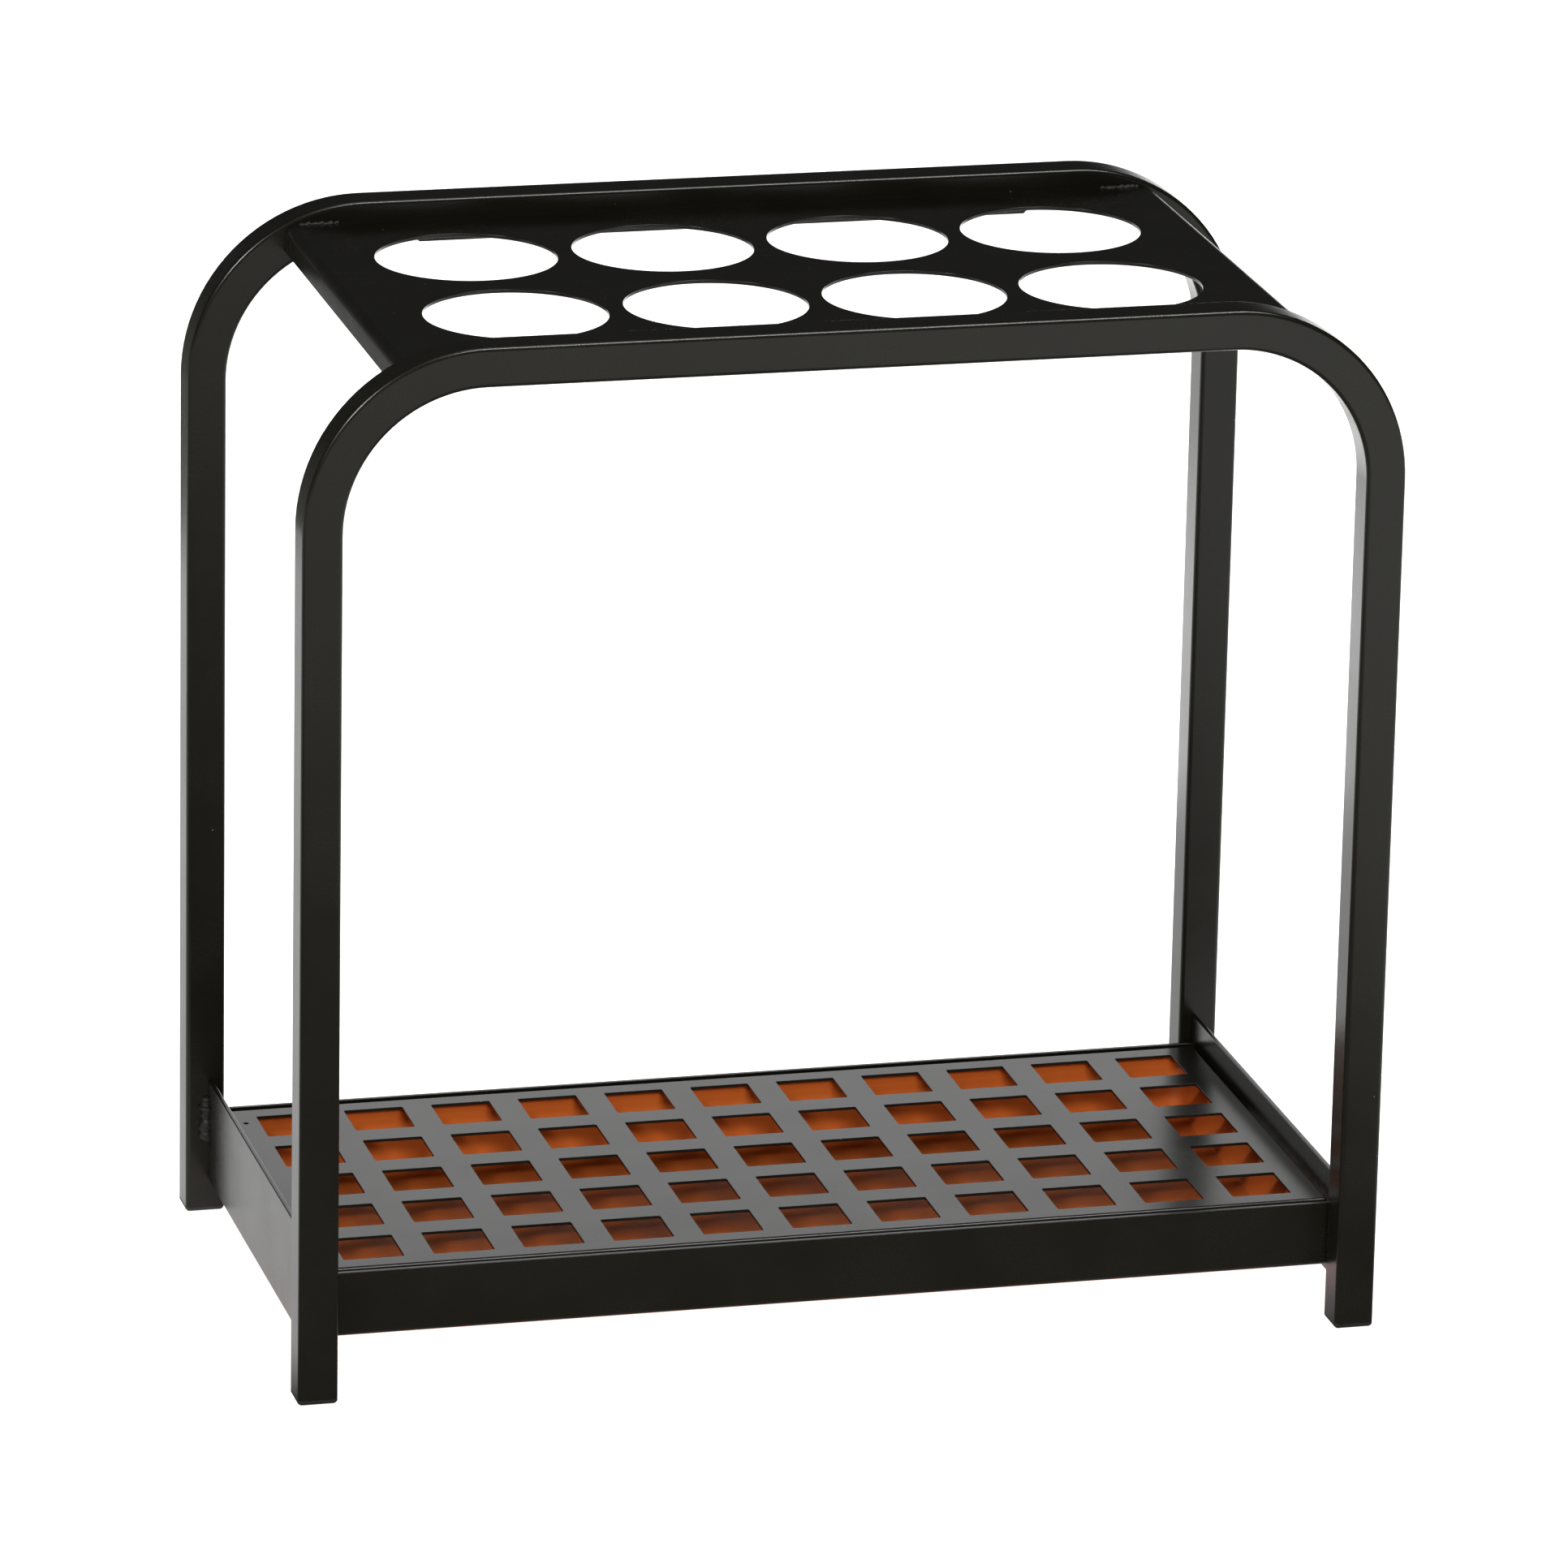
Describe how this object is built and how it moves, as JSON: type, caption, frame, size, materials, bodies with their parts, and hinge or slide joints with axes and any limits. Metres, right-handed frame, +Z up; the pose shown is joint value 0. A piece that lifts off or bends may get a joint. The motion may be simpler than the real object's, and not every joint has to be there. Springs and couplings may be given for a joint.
{
  "type": "umbrella stand",
  "caption": "Low umbrella stand: two bent square-tube hoops, a plate of round holes above, and a base with a lift-out grid over a drip tray.",
  "frame": {"origin": "on the floor, in the middle of the stand's footprint", "axes": "+Z up; +X to the right along the hoops; +Y from the front hoop to the rear hoop"},
  "size_m": [0.44, 0.24, 0.425],
  "materials": {
    "black_steel": "satin black powder coat with a fine orange-peel texture",
    "grid_steel": "satin black powder coat, smoother than the frame's",
    "weld": "weld beads under the same powder coat",
    "black_plastic": "moulded matt black plastic",
    "orange_plastic": "semi-gloss orange moulded plastic"
  },
  "bodies": {
    "frame": {"front_hoop": "black_steel", "rear_hoop": "black_steel", "front_left_foot": "black_plastic", "front_right_foot": "black_plastic", "rear_left_foot": "black_plastic", "rear_right_foot": "black_plastic", "umbrella_plate": "black_steel", "left_side_plate": "black_steel", "right_side_plate": "black_steel", "front_rail": "black_steel", "rear_rail": "black_steel", "side_plate_welds": "weld", "rail_welds": "weld", "plate_welds": "weld"},
    "drip_tray": {"drip_tray": "orange_plastic"},
    "grid_plate": {"grid_plate": "grid_steel"}
  },
  "joints": [
    {"name": "tray_lift", "type": "slide", "parent": "frame", "child": "drip_tray", "axis": [0, 0, 1], "range_m": [0, 0.1]},
    {"name": "grid_lift", "type": "slide", "parent": "drip_tray", "child": "grid_plate", "axis": [0, 0, 1], "range_m": [0, 0.1]}
  ]
}
